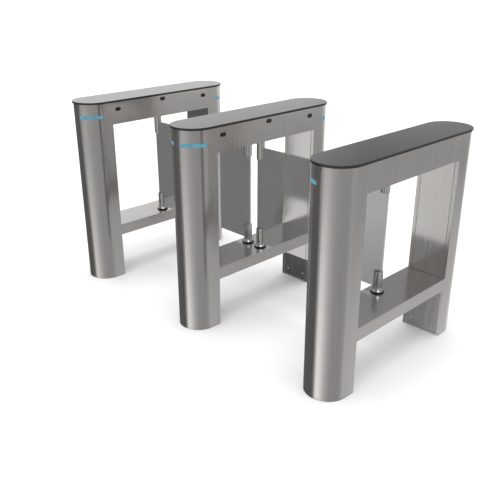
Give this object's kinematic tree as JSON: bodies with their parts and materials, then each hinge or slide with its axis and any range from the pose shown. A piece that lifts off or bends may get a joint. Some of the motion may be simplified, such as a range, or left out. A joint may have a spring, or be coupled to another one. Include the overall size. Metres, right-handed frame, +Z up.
{
  "type": "security gate",
  "caption": "Two-lane swing-barrier security gate: brushed steel pedestals with dark glass tops, end lights, sensors and tinted leaves that swing both ways on chrome posts",
  "frame": {"origin": "on the floor, at the centre of the middle pedestal", "axes": "+X across the lanes towards the right pedestal, +Y along the direction of travel towards the rear ends, +Z up"},
  "size_m": [1.917, 1.012, 1.028],
  "materials": {
    "housing_steel": "brushed along the length, satin",
    "panel_steel": "brushed, satin",
    "post_chrome": "polished",
    "cover_glass": "black back-painted glass, gloss",
    "leaf_glass": "grey tinted, polished edges",
    "light": "frosted, lit blue",
    "sensor": "dark infrared window, gloss",
    "pivot_ring": "black acetal, satin",
    "drive_casting": "as cast",
    "controller_case": "moulded, fine texture"
  },
  "bodies": {
    "root": {"left_front_leg_shell": "housing_steel", "left_front_upper_panel": "panel_steel", "left_front_lower_panel": "panel_steel", "left_front_light_guide": "light", "left_rear_leg_shell": "housing_steel", "left_rear_upper_panel": "panel_steel", "left_rear_lower_panel": "panel_steel", "left_rear_light_guide": "light", "left_upper_beam": "housing_steel", "left_lower_beam": "housing_steel", "left_top_cover": "cover_glass", "left_controller": "controller_case", "middle_front_leg_shell": "housing_steel", "middle_front_upper_panel": "panel_steel", "middle_front_lower_panel": "panel_steel", "middle_front_light_guide": "light", "middle_rear_leg_shell": "housing_steel", "middle_rear_upper_panel": "panel_steel", "middle_rear_lower_panel": "panel_steel", "middle_rear_light_guide": "light", "middle_upper_beam": "housing_steel", "middle_lower_beam": "housing_steel", "middle_top_cover": "cover_glass", "middle_controller": "controller_case", "right_front_leg_shell": "housing_steel", "right_front_upper_panel": "panel_steel", "right_front_lower_panel": "panel_steel", "right_front_light_guide": "light", "right_rear_leg_shell": "housing_steel", "right_rear_upper_panel": "panel_steel", "right_rear_lower_panel": "panel_steel", "right_rear_light_guide": "light", "right_upper_beam": "housing_steel", "right_lower_beam": "housing_steel", "right_top_cover": "cover_glass", "right_controller": "controller_case", "left_sensor_rail": "sensor", "middle_left_sensor_rail": "sensor", "middle_right_sensor_rail": "sensor", "right_sensor_rail": "sensor", "left_lane_left_leaf_pivot_bearing": "pivot_ring", "left_lane_left_leaf_drive_unit": "drive_casting", "left_lane_right_leaf_pivot_bearing": "pivot_ring", "left_lane_right_leaf_drive_unit": "drive_casting", "right_lane_left_leaf_pivot_bearing": "pivot_ring", "right_lane_left_leaf_drive_unit": "drive_casting", "right_lane_right_leaf_pivot_bearing": "pivot_ring", "right_lane_right_leaf_drive_unit": "drive_casting"},
    "left_lane_left_leaf": {"left_lane_left_leaf_glass": "leaf_glass", "left_lane_left_leaf_lower_post": "post_chrome", "left_lane_left_leaf_upper_post": "post_chrome"},
    "left_lane_right_leaf": {"left_lane_right_leaf_glass": "leaf_glass", "left_lane_right_leaf_lower_post": "post_chrome", "left_lane_right_leaf_upper_post": "post_chrome"},
    "right_lane_left_leaf": {"right_lane_left_leaf_glass": "leaf_glass", "right_lane_left_leaf_lower_post": "post_chrome", "right_lane_left_leaf_upper_post": "post_chrome"},
    "right_lane_right_leaf": {"right_lane_right_leaf_glass": "leaf_glass", "right_lane_right_leaf_lower_post": "post_chrome", "right_lane_right_leaf_upper_post": "post_chrome"}
  },
  "joints": [
    {"name": "left_lane_left_leaf_swing", "type": "hinge", "parent": "root", "child": "left_lane_left_leaf", "pos_m": [-0.804, 0, 0.6], "axis": [0, 0, 1], "range_deg": [-90, 90]},
    {"name": "left_lane_right_leaf_swing", "type": "hinge", "parent": "root", "child": "left_lane_right_leaf", "pos_m": [-0.046, 0, 0.6], "axis": [0, 0, 1], "range_deg": [-90, 90]},
    {"name": "right_lane_left_leaf_swing", "type": "hinge", "parent": "root", "child": "right_lane_left_leaf", "pos_m": [0.046, 0, 0.6], "axis": [0, 0, 1], "range_deg": [-90, 90]},
    {"name": "right_lane_right_leaf_swing", "type": "hinge", "parent": "root", "child": "right_lane_right_leaf", "pos_m": [0.804, 0, 0.6], "axis": [0, 0, 1], "range_deg": [-90, 90]}
  ],
  "couplings": [
    {"joint": "left_lane_right_leaf_swing", "follows": "left_lane_left_leaf_swing", "ratio": -1},
    {"joint": "right_lane_right_leaf_swing", "follows": "right_lane_left_leaf_swing", "ratio": -1}
  ]
}
